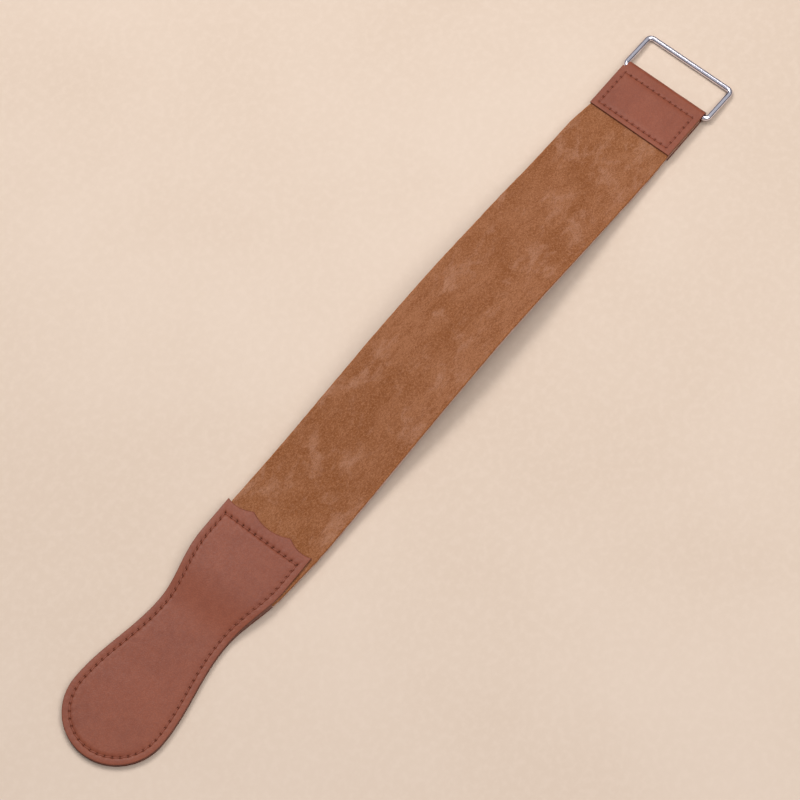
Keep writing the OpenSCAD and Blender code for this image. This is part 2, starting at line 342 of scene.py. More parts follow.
class Graph:
    """A new material, and short calls for building its nodes. Noise scales are in features a metre."""

    def __init__(self, name):
        self.material = bpy.data.materials.new(name)
        self.material.use_nodes = True
        self.nodes = self.material.node_tree.nodes
        self.links = self.material.node_tree.links
        self.nodes.clear()
        output = self.nodes.new("ShaderNodeOutputMaterial")
        self.shader = self.nodes.new("ShaderNodeBsdfPrincipled")
        self.links.new(self.shader.outputs[0], output.inputs[0])
        self.place = self.nodes.new("ShaderNodeTexCoord").outputs["Object"]

    def put(self, socket, value):
        """Links a socket to another one, or sets it to a value. None leaves it alone."""
        if isinstance(value, bpy.types.NodeSocket):
            self.links.new(value, socket)
        elif value is not None:
            socket.default_value = value

    def stretch(self, scale, turn=0):
        """The object's coordinates, scaled along each axis and turned about Z."""
        node = self.nodes.new("ShaderNodeMapping")
        self.put(node.inputs["Vector"], self.place)
        self.put(node.inputs["Scale"], scale)
        self.put(node.inputs["Rotation"], (0, 0, turn))
        return node.outputs[0]

    def warp(self, vector, scale, amount):
        """Coordinates pushed about by a noise, for uneven patches."""
        node = self.nodes.new("ShaderNodeTexNoise")
        self.put(node.inputs["Vector"], vector)
        self.put(node.inputs["Scale"], scale)
        self.put(node.inputs["Detail"], 2.0)
        centred = self.math3("SUBTRACT", node.outputs["Color"], (0.5, 0.5, 0.5))
        scaled = self.math3("MULTIPLY", centred, (amount, amount, amount))
        return self.math3("ADD", vector, scaled)

    def math3(self, operation, a, b):
        node = self.nodes.new("ShaderNodeVectorMath")
        node.operation = operation
        self.put(node.inputs[0], a)
        self.put(node.inputs[1], b)
        return node.outputs[0]

    def noise(self, scale, detail=4.0, rough=0.55, vector=None):
        node = self.nodes.new("ShaderNodeTexNoise")
        self.put(node.inputs["Vector"], vector or self.place)
        self.put(node.inputs["Scale"], scale)
        self.put(node.inputs["Detail"], detail)
        self.put(node.inputs["Roughness"], rough)
        return node.outputs["Fac"]

    def pebbles(self, scale, smooth):
        """Rounded cells, for the pebbles and pores of a grain."""
        node = self.nodes.new("ShaderNodeTexVoronoi")
        node.feature = "SMOOTH_F1"
        self.put(node.inputs["Vector"], self.place)
        self.put(node.inputs["Scale"], scale)
        self.put(node.inputs["Smoothness"], smooth)
        return node.outputs["Distance"]

    def attribute(self, name):
        node = self.nodes.new("ShaderNodeAttribute")
        node.attribute_name = name
        return node.outputs["Fac"]

    def range(self, value, low, high, to_low=0.0, to_high=1.0):
        """Goes smoothly from to_low to to_high while the value goes from low to high."""
        node = self.nodes.new("ShaderNodeMapRange")
        node.interpolation_type = "SMOOTHSTEP"
        for key, number in zip(("Value", "From Min", "From Max", "To Min", "To Max"),
                               (value, low, high, to_low, to_high)):
            self.put(node.inputs[key], number)
        return node.outputs[0]

    def math(self, operation, a, b):
        node = self.nodes.new("ShaderNodeMath")
        node.operation = operation
        self.put(node.inputs[0], a)
        self.put(node.inputs[1], b)
        return node.outputs[0]

    def mix(self, factor, a, b):
        node = self.nodes.new("ShaderNodeMix")
        node.data_type = "RGBA"
        self.put(node.inputs["Factor"], factor)
        self.put(node.inputs["A"], a)
        self.put(node.inputs["B"], b)
        return node.outputs["Result"]

    def tint(self, base, value, low, high, amount, colour):
        """The base with a share of a colour that grows to the amount while the value goes low to high."""
        return self.mix(self.range(value, low, high, 0.0, amount), base, colour)

    def blend(self, a, part_a, b, part_b):
        """A height made of parts of two others."""
        return self.math("ADD", self.math("MULTIPLY", a, part_a), self.math("MULTIPLY", b, part_b))

    def bump(self, height, strength, distance, normal=None):
        node = self.nodes.new("ShaderNodeBump")
        self.put(node.inputs["Strength"], strength)
        self.put(node.inputs["Distance"], distance)
        self.put(node.inputs["Height"], height)
        self.put(node.inputs["Normal"], normal)
        return node.outputs[0]

    def set(self, **values):
        """Sets or links the shader's own sockets."""
        for key, value in values.items():
            self.put(self.shader.inputs[key.replace("_", " ")], value)


def rgb(r, g, b):
    """A colour given as it looks on screen, from 0 to 255, turned into light values."""
    def linear(v):
        v = v / 255
        return v / 12.92 if v <= 0.04045 else ((v + 0.055) / 1.055) ** 2.4
    return (linear(r), linear(g), linear(b), 1.0)


# Colours. A pair is mixed by a noise.
COVER_LIGHT = rgb(132, 68, 45)
COVER_DARK = rgb(121, 60, 39)
COVER_MOTTLE = rgb(139, 76, 53)
COVER_PORE = rgb(92, 45, 32)
COVER_GROOVE_SHADE = rgb(92, 42, 30)
COVER_HOLE_SHADE = rgb(30, 10, 8)
COVER_EDGE = (rgb(96, 48, 33), rgb(126, 70, 49))
SUEDE_PATCH = (rgb(130, 77, 43), rgb(149, 97, 66))
SUEDE_STREAK = rgb(122, 68, 34)
SUEDE_FLECK = rgb(171, 124, 99)
SUEDE_NAP = rgb(166, 113, 80)
SUEDE_FIBRE = rgb(104, 56, 28)
SUEDE_EDGE = (rgb(136, 78, 42), rgb(176, 116, 74))
SUEDE_SHEEN = rgb(226, 180, 140)
SMOOTH_CLOUD = (rgb(164, 104, 78), rgb(146, 88, 64))
SMOOTH_PORE = rgb(118, 68, 48)
SMOOTH_WRINKLE = rgb(178, 122, 96)
SMOOTH_EDGE = (rgb(206, 172, 158), rgb(166, 126, 112))
THREAD_FIBRE = (rgb(124, 63, 45), rgb(150, 84, 63))
THREAD_WEAR = rgb(104, 51, 37)
THREAD_HOLE_SHADE = rgb(36, 12, 9)
CHROME_HAZE = (rgb(228, 224, 234), rgb(208, 203, 214))
BOARD_FIBRE = (rgb(92, 48, 34), rgb(122, 70, 50))
PAPER_CLOUD = (rgb(206, 186, 168), rgb(201, 180, 161))
PAPER_FIBRE = rgb(213, 194, 177)


def cover_leather():
    """Smooth tanned leather with a fine pebble grain and dark painted edges, with painted shade in the needle
    holes and a faint painted shade along the seam's groove.
    """
    g = Graph("cover_leather")
    clouds = g.noise(28, detail=3, vector=g.warp(g.place, 20, 0.02))
    mottle = g.noise(240, detail=5, rough=0.65)
    pores = g.pebbles(1500, smooth=0.3)
    base = g.mix(g.range(clouds, 0.32, 0.7), COVER_LIGHT, COVER_DARK)
    base = g.tint(base, mottle, 0.35, 0.7, 0.45, COVER_MOTTLE)
    base = g.tint(base, pores, 0.25, 0.6, 0.22, COVER_PORE)
    # Faint painted shade along the seam's groove, from the groove attribute
    base = g.mix(g.math("MULTIPLY", g.attribute("groove"), 0.12), base, COVER_GROOVE_SHADE)
    # Painted shade in the needle holes, from the hole attribute
    base = g.mix(g.attribute("hole"), base, COVER_HOLE_SHADE)
    fibres = g.noise(900, detail=4, vector=g.stretch((0.3, 0.3, 4)))
    painted = g.mix(g.range(fibres, 0.35, 0.7), *COVER_EDGE)
    base = g.mix(g.attribute("edge"), base, painted)
    grain = g.blend(pores, 0.6, mottle, 0.5)
    creases = g.bump(g.noise(420, detail=6, rough=0.7), 0.35, 0.12 * MM)
    rough = g.range(g.noise(700, detail=4), 0.3, 0.75, 0.4, 0.54)
    g.set(Base_Color=base, Roughness=rough, Normal=g.bump(grain, 0.5, 0.1 * MM, creases))
    g.set(Specular_IOR_Level=0.24, Sheen_Weight=0.04, Sheen_Roughness=0.45)
    return g.material


def suede():
    """Brushed flesh side: patches where the nap lies another way, and a fine fibrous grain."""
    g = Graph("suede")
    warped = g.warp(g.stretch((0.75, 1.15, 1), 0.5), 32, 0.03)
    patches = g.noise(30, detail=6, rough=0.66, vector=warped)
    streaks = g.noise(170, detail=5, rough=0.7, vector=g.warp(g.stretch((0.5, 1.5, 1), -0.6), 90, 0.008))
    flecks = g.noise(80, detail=6, rough=0.7, vector=g.warp(g.stretch((0.7, 1.1, 1), -0.2), 60, 0.012))
    nap = g.noise(1100, detail=5, rough=0.78)
    fibres = g.noise(2600, detail=3, rough=0.7, vector=g.stretch((0.35, 1.4, 1), 0.35))
    base = g.mix(g.range(patches, 0.38, 0.62), *SUEDE_PATCH)
    base = g.tint(base, streaks, 0.46, 0.66, 0.6, SUEDE_STREAK)
    base = g.tint(base, flecks, 0.49, 0.68, 0.7, SUEDE_FLECK)
    base = g.tint(base, nap, 0.42, 0.62, 0.6, SUEDE_NAP)
    base = g.tint(base, fibres, 0.44, 0.64, 0.6, SUEDE_FIBRE)
    edge = g.mix(g.range(g.noise(1300, detail=4), 0.35, 0.7), *SUEDE_EDGE)
    base = g.mix(g.attribute("edge"), base, edge)
    height = g.blend(nap, 0.8, fibres, 0.7)
    soft = g.bump(streaks, 0.5, 0.5 * MM)
    g.set(Base_Color=base, Roughness=0.95, Normal=g.bump(height, 0.9, 0.4 * MM, soft))
    g.set(Specular_IOR_Level=0.1, Sheen_Weight=0.2, Sheen_Roughness=0.55, Sheen_Tint=SUEDE_SHEEN)
    return g.material


def smooth_leather():
    """The lower strop: satin grain with fine wrinkles, and pale raw edges."""
    g = Graph("smooth_leather")
    clouds = g.noise(26, detail=4, vector=g.warp(g.place, 18, 0.03))
    pores = g.pebbles(1100, smooth=0.35)
    wrinkles = g.noise(320, detail=6, rough=0.7, vector=g.stretch((1.6, 0.6, 1)))
    base = g.mix(g.range(clouds, 0.32, 0.68), *SMOOTH_CLOUD)
    base = g.tint(base, pores, 0.25, 0.6, 0.3, SMOOTH_PORE)
    base = g.tint(base, wrinkles, 0.5, 0.75, 0.35, SMOOTH_WRINKLE)
    raw = g.mix(g.range(g.noise(1500, detail=4), 0.35, 0.7), *SMOOTH_EDGE)
    base = g.mix(g.attribute("edge"), base, raw)
    height = g.blend(pores, 0.6, wrinkles, 0.6)
    rough = g.range(g.noise(600, detail=4), 0.3, 0.75, 0.36, 0.52)
    g.set(Base_Color=base, Roughness=rough, Normal=g.bump(height, 0.5, 0.12 * MM))
    g.set(Specular_IOR_Level=0.42, Sheen_Weight=0.08)
    return g.material


def waxed_thread():
    """Waxed thread, with fine fibres and worn places, and painted shade on the ends that dive down into the
    needle holes.
    """
    g = Graph("waxed_thread")
    fibres = g.noise(5200, detail=3, rough=0.6, vector=g.stretch((1, 1, 1.6)))
    wear = g.noise(300, detail=3)
    base = g.mix(g.range(fibres, 0.35, 0.7), *THREAD_FIBRE)
    base = g.tint(base, wear, 0.5, 0.75, 0.35, THREAD_WEAR)
    # Painted shade on the thread where it dives into the needle holes
    base = g.mix(g.attribute("thread_hole_shade"), base, THREAD_HOLE_SHADE)
    rough = g.range(fibres, 0.3, 0.7, 0.42, 0.62)
    g.set(Base_Color=base, Roughness=rough, Normal=g.bump(fibres, 0.5, 0.05 * MM))
    g.set(Specular_IOR_Level=0.3, Sheen_Weight=0.05)
    return g.material


def chrome():
    """Polished plating with faint polishing marks and a few dull patches."""
    g = Graph("chrome")
    marks = g.noise(1400, detail=4, rough=0.6, vector=g.stretch((1, 0.15, 1)))
    haze = g.noise(120, detail=2)
    rough = g.math("ADD", g.range(haze, 0.35, 0.75, 0.15, 0.19), g.range(marks, 0.5, 0.8, 0.0, 0.02))
    colour = g.mix(g.range(haze, 0.35, 0.7), *CHROME_HAZE)
    g.set(Base_Color=colour, Metallic=1.0, Roughness=rough)
    return g.material


def brown_board():
    """Pressed leather board of the stiffener, stained like the covers' edges, between which it shows."""
    g = Graph("brown_board")
    fibres = g.noise(900, detail=5, rough=0.7, vector=g.stretch((0.4, 1.4, 1)))
    base = g.mix(g.range(fibres, 0.35, 0.7), *BOARD_FIBRE)
    g.set(Base_Color=base, Roughness=0.85, Normal=g.bump(fibres, 0.4, 0.15 * MM))
    return g.material


# -------------------------------- grip covers

def front_inset(inset):
    """Distance from the front line of the line that lies at an inset from the sides. The seam lies further in
    at the front, so the lines outside it spread out there."""
    return np.where(inset < SEAM_INSET, inset * FRONT_SEAM_INSET / SEAM_INSET,
                    inset + FRONT_SEAM_INSET - SEAM_INSET)


def loop_point(t, inset):
    """A point of the line at an inset from the grip's edge: t is 0 to 1 down the left side,
    1 to 2 round the end and 2 to 3 up the right side."""
    along = np.clip(np.where(t < 1.5, t, 3 - t), 0, 1)
    x_side = lerp(-front_inset(inset), -BELLY_X, along)
    y_side = grip_side(x_side, inset)
    angle = np.pi * np.clip(t - 1, 0, 1)
    x_end = -BELLY_X - (BELLY_R - inset) * np.sin(angle)
    y_end = (BELLY_R - inset) * np.cos(angle)
    x = np.where((t < 1) | (t > 2), x_side, x_end)
    y = np.where(t < 1, y_side, np.where(t > 2, -y_side, y_end))
    return x, y


def row_point(u, inset):
    """A point of the same line along the front edge: u is 0 to 1 from its right corner to its left. The
    scallops fade out towards the seam, which is straight."""
    corner = grip_side(-front_inset(inset), inset)
    y = lerp(-corner, corner, u)
    scallops = 1 - ease(inset / SCALLOP_FADE)
    return front_edge(y / corner * COVER_HALF) * scallops - front_inset(inset), y


def loop_parameters(count):
    """t of the mesh's columns round the grip's seam, for a count of equal stitches, and the seam's length."""
    dense = np.linspace(0, 3, 3001)
    x, y = loop_point(dense, SEAM_INSET)
    length = np.concatenate([[0], np.cumsum(np.hypot(np.diff(x), np.diff(y)))])
    wanted = (np.arange(count)[:, None] + STITCH_STEPS).ravel() / count * length[-1]
    return np.interp(wanted, length, dense), length[-1]


LOOP_LENGTH = loop_parameters(1)[1]
LOOP_STITCHES = round(LOOP_LENGTH / STITCH_LEN)
LOOP_T = loop_parameters(LOOP_STITCHES)[0]
ROW_U = (np.arange(FRONT_STITCHES)[:, None] + STITCH_STEPS).ravel() / FRONT_STITCHES
GRIP_STITCHES = LOOP_STITCHES + FRONT_STITCHES
PHASE = np.tile(STITCH_STEPS, GRIP_STITCHES)
STITCH_INDEX = np.repeat(np.arange(GRIP_STITCHES), len(STITCH_STEPS))
HOLE_SCALE = RANDOM.uniform(*HOLE_DEPTH_SPREAD, GRIP_STITCHES + 1)
HOLE_SCALE[-1] = HOLE_SCALE[0]


def grip_line(inset):
    """x and y of all columns of the closed line at an inset from the grip's edge."""
    x, y = loop_point(LOOP_T, inset)
    row_x, row_y = row_point(ROW_U, inset)
    return np.concatenate([x, row_x]), np.concatenate([y, row_y])


def hole_distance(inset, phase, pitch):
    """Distance from the nearest needle hole of a seam. The holes are longer along the seam."""
    return np.hypot(np.minimum(phase, 1 - phase) * pitch / HOLE_STRETCH, inset - SEAM_INSET)


def hole_shade(distance):
    """How much painted shade a needle hole gets: 1 in the hole and 0 outside it."""
    return np.clip(HOLE_SHADE_GAIN * bump(distance, HOLE_SHADE_R), 0, 1)


def seam_relief(inset, phase, pitch, scale):
    """How far the seam sinks the leather: a groove, and a funnel and a shallow dimple at each hole."""
    groove = GROOVE_DEPTH * bump(inset - SEAM_INSET, GROOVE_W)
    hole = HOLE_DEPTH * scale * bump(hole_distance(inset, phase, pitch), HOLE_R)
    dimple = DIMPLE_DEPTH * bump(inset - SEAM_INSET, DIMPLE_W) * (0.5 + 0.5 * np.cos(2 * np.pi * phase))
    return groove + hole + dimple


# Lines of the covers' mesh, in from the edge: (inset, depth below the face)
EDGE_R = 0.34 * MM
EDGE_LINES = [(EDGE_R * (1 - math.cos(a)), EDGE_R * (1 - math.sin(a)))
              for a in np.radians([0, 25, 50, 70, 90])]
# Insets of the dense lines on either side of the seam, and of the coarse lines inside them on each face
FACE_INSETS = MM * np.array([0.6, 1.0, 1.5, 2.0, 2.4, 2.7, 2.9, 3.05, 3.18, 3.29, 3.39, 3.5, 3.61, 3.71, 3.82,
                             3.95, 4.1, 4.3, 4.6, 4.95, 5.35, 5.8, 6.3])
FACE_COARSE = MM * np.array([6.9, 7.6, 8.4])
BACK_COARSE = MM * np.array([1.5, 3.5, 4.1, 4.7, 5.3, 5.9, 6.5, 7.1, 8.0])


def interior(points, left, right, row, surface):
    """Fills the inside of a coarse line with rungs from side to side, each with as many steps as the front
    row. left and right are vertex numbers down the sides, and row the front row's from left to right."""
    verts, faces = [], []
    steps = len(row) - 1
    shares = np.arange(1, steps)[:, None] / steps
    above = row
    for a, b in zip(left[1:-1], right[1:-1]):
        start = len(points) + len(verts)
        xy = lerp(points[a][:2], points[b][:2], shares)
        verts += np.column_stack([xy, surface(xy[:, 0], xy[:, 1], FAR)]).tolist()
        rung = [a] + list(range(start, start + steps - 1)) + [b]
        faces += [[above[k], above[k + 1], rung[k + 1], rung[k]] for k in range(steps)]
        above = rung
    half = steps // 2
    faces += [[above[k], above[k + 1], left[-1]] for k in range(half)]
    faces += [[above[k], above[k + 1], right[-1]] for k in range(half, steps)]
    faces.append([above[half], right[-1], left[-1]])
    return verts, faces


def grip_cover(name, face, back, up, material, seed):
    """A cover cut to the grip's outline. face(x) is the height of its outer face and back(x, inset) that of
    its inner one. up is 1 for the front cover and -1 for the back one, whose outer face looks down and keeps
    above the surface it lies on."""
    pitch = LOOP_LENGTH / LOOP_STITCHES
    columns = len(PHASE)
    scale = lerp(HOLE_SCALE[STITCH_INDEX], HOLE_SCALE[STITCH_INDEX + 1], np.round(PHASE))

    def outer(x, y, inset):
        """The outer face without its seam: slightly padded and uneven inside the seam, crowned outside it."""
        fade = ease((inset - SEAM_INSET) / PADDING_RAMP)
        uneven = WAVE * waviness(x, y, WAVE_SIZE, seed) + RIPPLE * waviness(x, y, RIPPLE_SIZE, seed + 3)
        if up < 0:
            return face(x) + fade * (WAVE + RIPPLE + uneven)
        puff = PADDING * (1 - np.square(y / BELLY_R))
        crown = RIM_CROWN * math.sin(math.pi * min(inset / SEAM_INSET, 1))
        return face(x) + crown + fade * (uneven + puff)

    def inner(x, y, inset):
        return back(x, inset)

    rings, hole, groove, edge = [], [], [], []

    def add_ring(inset, z, hole_shade_value=0.0, edge_value=0.0):
        x, y = grip_line(inset)
        rings.append(np.stack([x, y, z(x, y)], 1))
        hole.append(np.broadcast_to(hole_shade_value, columns))
        # groove carries the painted shade along the seam
        groove.append(np.full(columns, bump(inset - SEAM_INSET, GROOVE_SHADE_W)))
        edge.append(np.full(columns, edge_value))

    for inset in FACE_INSETS[::-1]:
        relief = up * seam_relief(inset, PHASE, pitch, scale)
        # The hole attribute carries the painted shade of the needle holes
        shade = hole_shade(hole_distance(inset, PHASE, pitch))
        add_ring(inset, lambda x, y: outer(x, y, inset) - relief, shade)
    for k, (inset, depth) in enumerate(EDGE_LINES[::-1]):
        add_ring(inset, lambda x, y: outer(x, y, inset) - up * depth, edge_value=min(1, k / 3))
    for inset, depth in EDGE_LINES:
        add_ring(inset, lambda x, y: inner(x, y, inset) + up * depth, edge_value=1)
    points = np.concatenate(rings)
    faces = grid_faces(len(rings), columns, closed=True)
    last = len(points) - columns

    for start, insets, surface, turned in ((0, FACE_COARSE, outer, 1), (last, BACK_COARSE, inner, -1)):
        points, more = grip_middle(points, start, insets, surface)
        faces += [f[::turned] for f in more]
    faces = [f[::up] for f in faces]
    points[:, 0], points[:, 1] = grip_place(points[:, 0], points[:, 1])
    values = [np.concatenate(v) for v in (hole, groove, edge)]
    values = [np.concatenate([v, np.zeros(len(points) - len(v))]) for v in values]
    return make_object(name, points, faces, material, dict(zip(("hole", "groove", "edge"), values)))


def grip_middle(points, start, insets, surface):
    """The part of a cover's face inside its dense lines: lines with one vertex to a stitch, then rungs."""
    columns = len(PHASE)
    coarse = np.arange(0, columns, len(STITCH_STEPS))
    first = len(points)
    for inset in insets:
        x, y = (v[coarse] for v in grip_line(inset))
        points = np.concatenate([points, np.stack([x, y, surface(x, y, inset)], 1)])
    faces = fan_faces(start, columns, coarse, first)
    faces += grid_faces(len(insets), len(coarse), first, closed=True, flip=True)
    first += (len(insets) - 1) * len(coarse)
    half = LOOP_STITCHES // 2
    left = [first + k for k in range(half + 1)]
    right = [first + LOOP_STITCHES - k for k in range(half + 1)]
    row = [first] + [first + len(coarse) - k for k in range(1, FRONT_STITCHES)] + [first + LOOP_STITCHES]
    verts, rungs = interior(points, left, right, row, surface)
    return np.concatenate([points, np.array(verts)]), faces + rungs


def fan_faces(start, columns, coarse, first):
    """Joins a dense closed line to a coarse one inside it."""
    faces = []
    count = len(coarse)
    step = columns // count
    half = step // 2
    for k in range(count):
        here, there = first + k, first + (k + 1) % count
        dense = [start + (coarse[k] + j) % columns for j in range(step + 1)]
        faces += [[dense[j + 1], dense[j], here] for j in range(half)]
        faces += [[dense[j + 1], dense[j], there] for j in range(half, step)]
        faces.append([there, dense[half], here])
    return faces


# -------------------------------- thread

def strand(points, radius):
    """A twisted three-ply strand along a line of points: verts and faces of a closed tube."""
    points = np.asarray(points)
    tangents = np.gradient(points, axis=0)
    tangents /= np.linalg.norm(tangents, axis=1)[:, None]
    length = np.concatenate([[0], np.cumsum(np.linalg.norm(np.diff(points, axis=0), axis=1))])
    across = np.cross([0, 0, 1.0], tangents)
    across /= np.maximum(np.linalg.norm(across, axis=1), 1e-9)[:, None]
    up = np.cross(tangents, across)
    angle = np.arange(THREAD_SIDES) * 2 * np.pi / THREAD_SIDES
    ply = radius * (1 + PLY_RELIEF * np.cos(3 * angle[None, :] - THREAD_TWIST * length[:, None]))
    verts = (points[:, None] + ply[..., None] * (np.cos(angle)[None, :, None] * across[:, None]
                                                 + np.sin(angle)[None, :, None] * up[:, None]))
    faces = grid_faces(len(points), THREAD_SIDES, closed=True)
    last = (len(points) - 1) * THREAD_SIDES
    faces.append(list(range(THREAD_SIDES))[::-1])
    faces.append([last + k for k in range(THREAD_SIDES)])
    return verts.reshape(-1, 3), faces


def stitch_path(a, b, face_up):
    """Centre line of one stitch: out of one hole, over the groove and down the next."""
    t = THREAD_STEPS
    shape = np.clip(1 - np.abs(2 * t - 1) ** STITCH_SQUARENESS, 0, 1)
    path = lerp(a, b, t[:, None])
    lift = FRONT_THREAD_LIFT if face_up > 0 else BACK_THREAD_LIFT
    path[:, 2] += face_up * (shape * (lift + THREAD_DIVE) - THREAD_DIVE)
    side = np.cross(b - a, [0, 0, 1.0])
    side /= np.linalg.norm(side)
    slant = RANDOM.uniform(*STITCH_SLANT_MM) * MM * np.sin(2 * np.pi * t)
    return path + side * slant[:, None]


def thread(name, holes, face_up, material):
    """A seam's stitches on one face, which looks up (face_up is 1) or down (-1). holes are the points where
    they dive, on the groove's floor. The thread below that floor gets painted shade."""
    verts, faces, thread_hole_shade = [], [], []
    for a, b in zip(holes, np.roll(holes, -1, axis=0)):
        path = stitch_path(a, b, face_up)
        points, quads = strand(path, THREAD_R * RANDOM.uniform(*THREAD_R_SPREAD))
        first = sum(len(v) for v in verts)
        verts.append(points)
        faces += [[first + k for k in f] for f in quads]
        along = (points[:, :2] - a[:2]) @ (b - a)[:2] / np.sum((b - a)[:2] ** 2)
        floor = lerp(a[2], b[2], np.clip(along, 0, 1))
        # Painted shade, growing with the depth below the groove's floor
        thread_hole_shade.append(np.clip((floor - points[:, 2]) * face_up / THREAD_SHADE_DEPTH, 0, 1))
    return make_object(name, np.concatenate(verts), faces, material, {"thread_hole_shade": np.concatenate(thread_hole_shade)})


def grip_holes(face, up):
    """The grip's needle holes, on the floor of the seam's groove."""
    x, y = grip_line(SEAM_INSET)
    first = np.arange(0, len(x), len(STITCH_STEPS))
    x, y = x[first], y[first]
    z = face(x) - up * GROOVE_DEPTH
    return np.stack([*grip_place(x, y), z], 1)


# -------------------------------- tab

def tab_edge(x, side):
    """Distance of the tab's left (1) or right (-1) edge from its middle. The neck fits inside the ring."""
    neck = min(TAB_HALF, TAB_NECK_HALF + side * (RING_MID_Y - TAB_MID_Y))
    return lerp(neck, TAB_HALF, ease((TAB_HIGH.x - TAB_NECK_LEN - x) / TAB_SHOULDER_LEN))


def tab_positions():
    """Lines of the tab's mesh along its unfolded half, from the free edge to the middle of the fold, and
    across it. Then the places along it of the seam's two rows, the fold's start and the fold's middle."""
    seam_near, seam_far = TAB_EDGE_SEAM, TAB_LEN - TAB_FOLD_SEAM
    fold_start = HINGE.x - TAB_LOW.x
    leaf_end = fold_start + math.pi / 2 * FOLD_R
    shoulder = TAB_LEN - TAB_NECK_LEN
    side = (np.arange(TAB_SIDE_STITCHES)[:, None] + STITCH_STEPS).ravel() / TAB_SIDE_STITCHES
    around = MM * np.array([-1.1, -0.7, -0.45, -0.3, -0.2, -0.1])
    close = EDGE_R * EDGE_STEPS
    # In turn: the cut edge, the seam, the shoulder, the neck and the fold
    along = np.concatenate([close, MM * np.array([0.7, 1.3]), seam_near + around,
                            lerp(seam_near, seam_far, side), [seam_far], seam_far - around[::-1],
                            shoulder - TAB_SHOULDER_LEN * np.array([1.8, 1.3, 1, 0.8, 0.6, 0.4, 0.2, 0]),
                            lerp(shoulder + 0.3 * MM, fold_start, np.linspace(0, 1, TAB_NECK_LINES)),
                            lerp(fold_start, leaf_end, np.linspace(0, 1, TAB_FOLD_LINES)[1:])])
    row = (np.arange(TAB_ROW_STITCHES)[:, None] + STITCH_STEPS).ravel() / TAB_ROW_STITCHES
    seam = TAB_HALF - SEAM_INSET
    out = np.concatenate([close, MM * np.array([0.7, 1.4, 2.0]), SEAM_INSET + around])
    across = np.concatenate([-TAB_HALF + out, lerp(-seam, seam, row), [seam], TAB_HALF - out[::-1]])
    return along, across, (seam_near, seam_far, fold_start, leaf_end)


def tab_seam(leaf, across, seam_near, seam_far):
    """For points of the unfolded tab: the distance to its rectangular seam, the distance to the nearest
    needle hole, and whether they lie within the seam."""
    seam = TAB_HALF - SEAM_INSET
    row_pitch = 2 * seam / TAB_ROW_STITCHES
    side_pitch = (seam_far - seam_near) / TAB_SIDE_STITCHES
    in_rows = np.abs(across) <= seam
    in_sides = (leaf >= seam_near) & (leaf <= seam_far)
    from_row = np.minimum(np.abs(leaf - seam_near), np.abs(leaf - seam_far))
    from_side = np.abs(np.abs(across) - seam)
    beyond_row = np.where(in_rows, 0, from_side)
    beyond_side = np.where(in_sides, 0, from_row)
    from_seam = np.minimum(np.hypot(from_row, beyond_row), np.hypot(from_side, beyond_side))
    row_phase = ((across + seam) / row_pitch + 0.5) % 1 - 0.5
    side_phase = ((leaf - seam_near) / side_pitch + 0.5) % 1 - 0.5
    row_hole = np.hypot(np.where(in_rows, row_phase * row_pitch / HOLE_STRETCH, FAR), from_row)
    side_hole = np.hypot(np.where(in_sides, side_phase * side_pitch / HOLE_STRETCH, FAR), from_side)
    return from_seam, np.minimum(row_hole, side_hole), in_rows & in_sides


def tab(name, material):
    """One piece of leather folded round the ring's bar: back leaf, fold and front leaf."""
    along, across, (seam_near, seam_far, fold_start, leaf_end) = tab_positions()
    u = np.concatenate([along, (2 * leaf_end - along[::-1])[1:]])
    front = u > leaf_end
    leaf = np.where(front, 2 * leaf_end - u, u)
    turn = np.clip((leaf - fold_start) / FOLD_R, 0, math.pi / 2)
    x_flat = TAB_LOW.x + np.minimum(leaf, fold_start)
    sign = np.where(front, 1.0, -1.0)
    normal_x = np.sin(turn)
    normal_z = sign * np.cos(turn)
    x_out = x_flat + FOLD_R * normal_x
    z_out = FOLD_R + FOLD_R * normal_z
    half = np.where(across[None, :] > 0, tab_edge(x_out, 1)[:, None], tab_edge(x_out, -1)[:, None])
    seam = TAB_HALF - SEAM_INSET
    band = (np.abs(across) - seam)[None, :] / SEAM_INSET
    y = np.where(band > 0, np.sign(across)[None, :] * (seam + band * (half - seam)), across[None, :])

    leaf_grid, across_grid = np.meshgrid(leaf, across, indexing="ij")
    from_seam, from_hole, within = tab_seam(leaf_grid, across_grid, seam_near, seam_far)
    edge_distance = np.minimum(leaf_grid, half - np.abs(y))
    relief = (TAB_GROOVE_DEPTH * bump(from_seam, GROOVE_W) + HOLE_DEPTH * bump(from_hole, HOLE_R)
              + rounding(edge_distance, EDGE_R))
    padded = within & front[:, None]
    relief -= np.where(padded, TAB_PADDING * ease(from_seam / TAB_PADDING_RAMP), 0)
    wave_place = across_grid + np.where(front, TAB_LEAVES_APART, 0)[:, None]
    uneven = TAB_WAVE * waviness(leaf_grid, wave_place, TAB_WAVE_SIZE, TAB_SEED)
    relief -= np.where(front[:, None], uneven, np.minimum(uneven, 0))
    top = np.stack([x_out[:, None] - relief * normal_x[:, None],
                    y + TAB_MID_Y,
                    z_out[:, None] - relief * normal_z[:, None]], -1)
    inner = COVER_T - rounding(edge_distance, EDGE_R)
    bottom = np.stack([x_out[:, None] - inner * normal_x[:, None],
                       y + TAB_MID_Y,
                       z_out[:, None] - inner * normal_z[:, None]], -1)
    none = np.zeros(from_hole.size)
    edge = np.clip(1 - edge_distance / (0.5 * EDGE_R), 0, 1).ravel()
    # hole and groove carry painted shade in the needle holes and along the seam's groove
    attributes = {"hole": np.concatenate([hole_shade(from_hole).ravel(), none]),
                  "groove": np.concatenate([bump(from_seam, GROOVE_SHADE_W).ravel(), none]),
                  "edge": np.concatenate([edge, np.ones(none.size)])}
    return slab(name, top, bottom, material, attributes)


